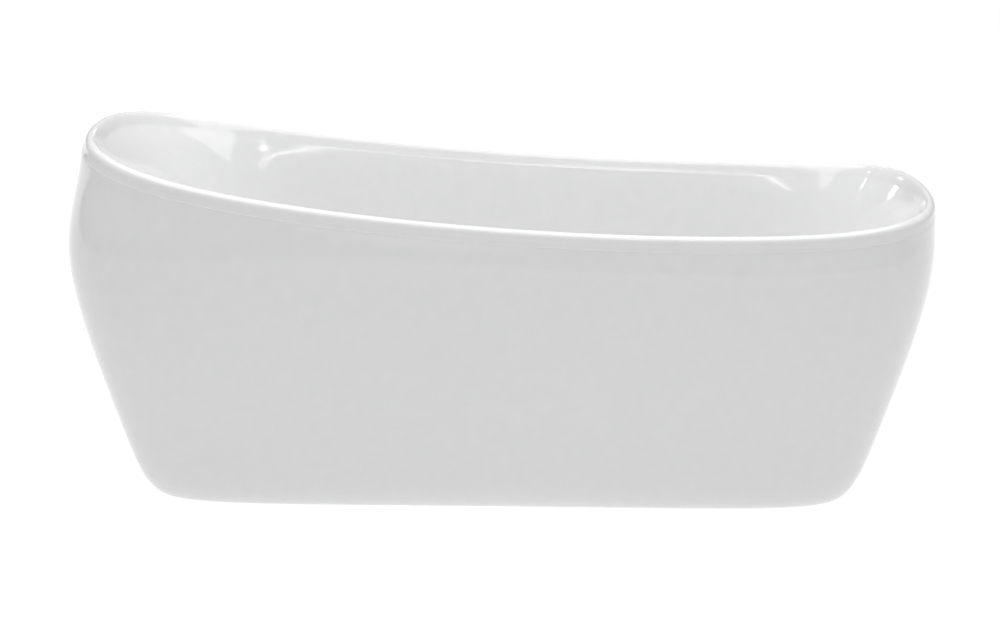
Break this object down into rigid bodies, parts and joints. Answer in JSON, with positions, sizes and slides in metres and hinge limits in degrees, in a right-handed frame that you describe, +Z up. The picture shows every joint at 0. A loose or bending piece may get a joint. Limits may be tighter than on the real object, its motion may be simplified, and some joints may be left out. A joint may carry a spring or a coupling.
{
  "type": "freestanding bathtub",
  "caption": "Freestanding bath with one raised end: moulded basin in a tapering skirt, on a steel frame with screw feet, with push-button waste and overflow.",
  "frame": {"origin": "on the floor under the middle of the bath", "axes": "+X along the bath towards the drain end, +Y across it, +Z up"},
  "size_m": [1.6986, 0.7992, 0.714],
  "materials": {
    "bath_acrylic": "polished white",
    "board": "resin-sealed chipboard",
    "galvanised_steel": "galvanised",
    "plated_hardware": "zinc plated",
    "black_plastic": "moulded",
    "chrome": "polished",
    "brass": "turned",
    "rubber": "moulded",
    "spring_steel": "drawn wire",
    "white_plastic": "moulded",
    "grey_hose": "corrugated"
  },
  "bodies": {
    "bath": {"basin_shell": "bath_acrylic", "board_screws": "plated_hardware", "bracket_screws": "plated_hardware", "centre_foot_plate": "galvanised_steel", "cross_tube_drain": "galvanised_steel", "cross_tube_foot": "galvanised_steel", "cross_tube_head": "galvanised_steel", "cross_tube_middle": "galvanised_steel", "foot_bar_foot": "galvanised_steel", "foot_bar_head": "galvanised_steel", "frame_rail_far": "galvanised_steel", "frame_rail_near": "galvanised_steel", "hose_clamp_lower": "white_plastic", "hose_clamp_upper": "white_plastic", "outlet_pipe": "white_plastic", "outlet_union_nut": "white_plastic", "overflow_body": "white_plastic", "overflow_cover": "chrome", "overflow_gasket": "rubber", "overflow_hose": "grey_hose", "overflow_screw": "chrome", "plug_cartridge": "white_plastic", "plug_spring": "spring_steel", "rail_end_caps": "black_plastic", "skirt_bracket_1": "galvanised_steel", "skirt_bracket_2": "galvanised_steel", "skirt_bracket_3": "galvanised_steel", "skirt_bracket_4": "galvanised_steel", "skirt_shell": "bath_acrylic", "support_board": "board", "waste_body": "white_plastic", "waste_flange": "chrome", "waste_gasket_lower": "rubber", "waste_gasket_upper": "rubber"},
    "foot_1_leg": {"foot_1_stud": "plated_hardware", "foot_1_pad": "black_plastic"},
    "foot_1_nut_pair": {"foot_1_nuts": "plated_hardware"},
    "foot_2_leg": {"foot_2_stud": "plated_hardware", "foot_2_pad": "black_plastic"},
    "foot_2_nut_pair": {"foot_2_nuts": "plated_hardware"},
    "foot_3_leg": {"foot_3_stud": "plated_hardware", "foot_3_pad": "black_plastic"},
    "foot_3_nut_pair": {"foot_3_nuts": "plated_hardware"},
    "foot_4_leg": {"foot_4_stud": "plated_hardware", "foot_4_pad": "black_plastic"},
    "foot_4_nut_pair": {"foot_4_nuts": "plated_hardware"},
    "foot_5_leg": {"foot_5_stud": "plated_hardware", "foot_5_pad": "black_plastic"},
    "foot_5_nut_pair": {"foot_5_nuts": "plated_hardware"},
    "plug": {"plug_cap": "chrome", "plug_seal": "rubber", "plug_stem": "brass"}
  },
  "joints": [
    {"name": "foot_1_adjuster", "type": "hinge", "parent": "bath", "child": "foot_1_nut_pair", "pos_m": [-0.432, -0.171, 0.07], "axis": [0, 0, 1], "range_deg": [-640, 2520]},
    {"name": "foot_1_travel", "type": "slide", "parent": "bath", "child": "foot_1_leg", "axis": [0, 0, -1], "range_m": [-0.003, 0.012]},
    {"name": "foot_2_adjuster", "type": "hinge", "parent": "bath", "child": "foot_2_nut_pair", "pos_m": [-0.432, 0.171, 0.07], "axis": [0, 0, 1], "range_deg": [-640, 2520]},
    {"name": "foot_2_travel", "type": "slide", "parent": "bath", "child": "foot_2_leg", "axis": [0, 0, -1], "range_m": [-0.003, 0.012]},
    {"name": "foot_3_adjuster", "type": "hinge", "parent": "bath", "child": "foot_3_nut_pair", "pos_m": [0.51, -0.171, 0.07], "axis": [0, 0, 1], "range_deg": [-640, 2520]},
    {"name": "foot_3_travel", "type": "slide", "parent": "bath", "child": "foot_3_leg", "axis": [0, 0, -1], "range_m": [-0.003, 0.012]},
    {"name": "foot_4_adjuster", "type": "hinge", "parent": "bath", "child": "foot_4_nut_pair", "pos_m": [0.51, 0.171, 0.07], "axis": [0, 0, 1], "range_deg": [-640, 2520]},
    {"name": "foot_4_travel", "type": "slide", "parent": "bath", "child": "foot_4_leg", "axis": [0, 0, -1], "range_m": [-0.003, 0.012]},
    {"name": "foot_5_adjuster", "type": "hinge", "parent": "bath", "child": "foot_5_nut_pair", "pos_m": [0.074, 0, 0.07], "axis": [0, 0, 1], "range_deg": [-640, 2520]},
    {"name": "foot_5_travel", "type": "slide", "parent": "bath", "child": "foot_5_leg", "axis": [0, 0, -1], "range_m": [-0.003, 0.012]},
    {"name": "plug_lift", "type": "slide", "parent": "bath", "child": "plug", "axis": [0, 0, 1], "range_m": [0, 0.009], "deforming": ["plug_spring"]}
  ],
  "couplings": [
    {"joint": "foot_1_adjuster", "follows": "foot_1_travel", "rad_per_m": 3590.4},
    {"joint": "foot_2_adjuster", "follows": "foot_2_travel", "rad_per_m": 3590.4},
    {"joint": "foot_3_adjuster", "follows": "foot_3_travel", "rad_per_m": 3590.4},
    {"joint": "foot_4_adjuster", "follows": "foot_4_travel", "rad_per_m": 3590.4},
    {"joint": "foot_5_adjuster", "follows": "foot_5_travel", "rad_per_m": 3590.4}
  ]
}
